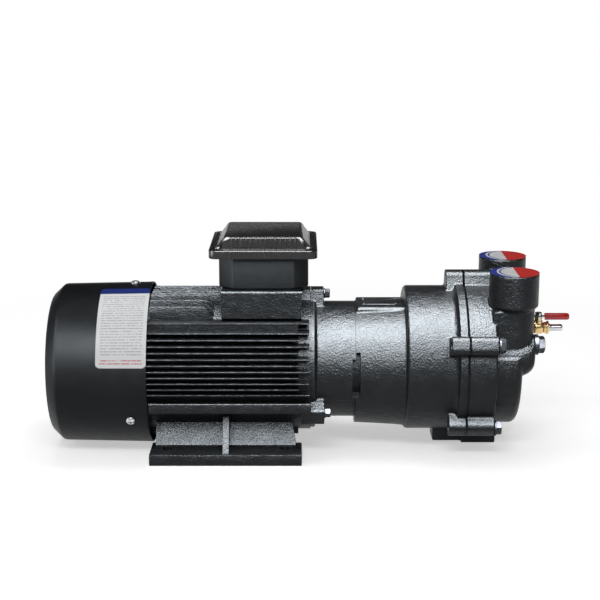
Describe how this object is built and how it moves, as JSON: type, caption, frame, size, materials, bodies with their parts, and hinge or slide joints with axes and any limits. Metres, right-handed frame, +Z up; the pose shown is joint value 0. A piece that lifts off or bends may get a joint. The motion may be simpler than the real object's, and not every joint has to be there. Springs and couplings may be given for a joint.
{
  "type": "liquid ring vacuum pump",
  "caption": "Close-coupled liquid ring vacuum pump with a foot-mounted finned electric motor, upright ports on the end cover and a small service valve.",
  "frame": {"origin": "on the floor, under the centre of the machine's overall box", "axes": "+X along the shaft from the fan cowl to the pump cover, +Z up"},
  "size_m": [0.6318, 0.208, 0.2663],
  "materials": {
    "cast_paint": "semi-gloss black paint on a cast surface",
    "satin_paint": "satin black paint on sheet steel",
    "grey_paint": "satin dark grey paint",
    "gloss_lid": "glossy black moulding",
    "black_steel": "black oxide steel",
    "zinc": "bright zinc plate",
    "steel": "turned steel",
    "plate_steel": "ground plate with dull edges",
    "lamination": "stacked electrical sheet",
    "copper": "varnished winding",
    "bronze": "cast bronze",
    "brass": "turned brass",
    "rubber": "matt",
    "ceramic": "ground ceramic and white flap material",
    "carbon": "lapped carbon",
    "board": "moulded brown board",
    "nylon": "moulded black nylon",
    "red_vinyl": "dipped red vinyl"
  },
  "bodies": {
    "housing": {"motor_frame": "cast_paint", "stator_core": "lamination", "stator_winding_fan_end": "copper", "stator_winding_drive_end": "copper", "bearing_outer_drive": "steel", "bearing_outer_fan": "steel", "end_shield_drive": "cast_paint", "shield_bolt_1": "black_steel", "shield_bolt_2": "black_steel", "shield_bolt_3": "black_steel", "end_shield_fan": "cast_paint", "fan_cowl": "satin_paint", "cowl_screw_1": "zinc", "cowl_screw_2": "zinc", "cowl_screw_3": "zinc", "terminal_box": "grey_paint", "cable_gland": "nylon", "terminal_board": "board", "lid_gasket": "rubber", "terminal_lid": "gloss_lid", "lid_screw_1": "zinc", "lid_screw_2": "zinc", "lid_screw_3": "zinc", "lid_screw_4": "zinc", "pump_casing": "cast_paint", "port_plate": "plate_steel", "valve_flap": "ceramic", "pump_cover": "cast_paint", "cover_bolt_1": "black_steel", "cover_bolt_2": "black_steel", "cover_bolt_3": "black_steel", "cover_bolt_4": "black_steel", "cover_bolt_5": "black_steel", "column_plug_1": "black_steel", "column_plug_2": "black_steel", "seal_seat": "ceramic", "valve_body": "brass", "hose_nipple": "zinc"},
    "rotor": {"shaft": "steel", "impeller_key": "steel", "rotor_core": "lamination", "fan": "nylon", "bearing_inner_drive": "steel", "bearing_inner_fan": "steel", "impeller": "bronze", "impeller_screw": "steel", "seal_head": "carbon", "seal_spring": "steel"},
    "drive_cage": {"bearing_cage_drive": "steel"},
    "fan_cage": {"bearing_cage_fan": "steel"},
    "valve_handle": {"valve_stem": "brass", "valve_lever": "zinc", "lever_sleeve": "red_vinyl", "lever_nut": "zinc"}
  },
  "joints": [
    {"name": "rotor_spin", "type": "hinge", "parent": "housing", "child": "rotor", "pos_m": [0, 0, 0.1], "axis": [1, 0, 0], "continuous": true},
    {"name": "drive_cage_spin", "type": "hinge", "parent": "housing", "child": "drive_cage", "pos_m": [0.0294, 0, 0.1], "axis": [1, 0, 0], "continuous": true},
    {"name": "fan_cage_spin", "type": "hinge", "parent": "housing", "child": "fan_cage", "pos_m": [-0.2099, 0, 0.1], "axis": [1, 0, 0], "continuous": true},
    {"name": "valve_lever_turn", "type": "hinge", "parent": "housing", "child": "valve_handle", "pos_m": [0.2782, 0, 0.143], "axis": [0, 0, 1], "range_deg": [0, 90]}
  ],
  "couplings": [
    {"joint": "drive_cage_spin", "follows": "rotor_spin", "ratio": 0.387},
    {"joint": "fan_cage_spin", "follows": "rotor_spin", "ratio": 0.404}
  ]
}
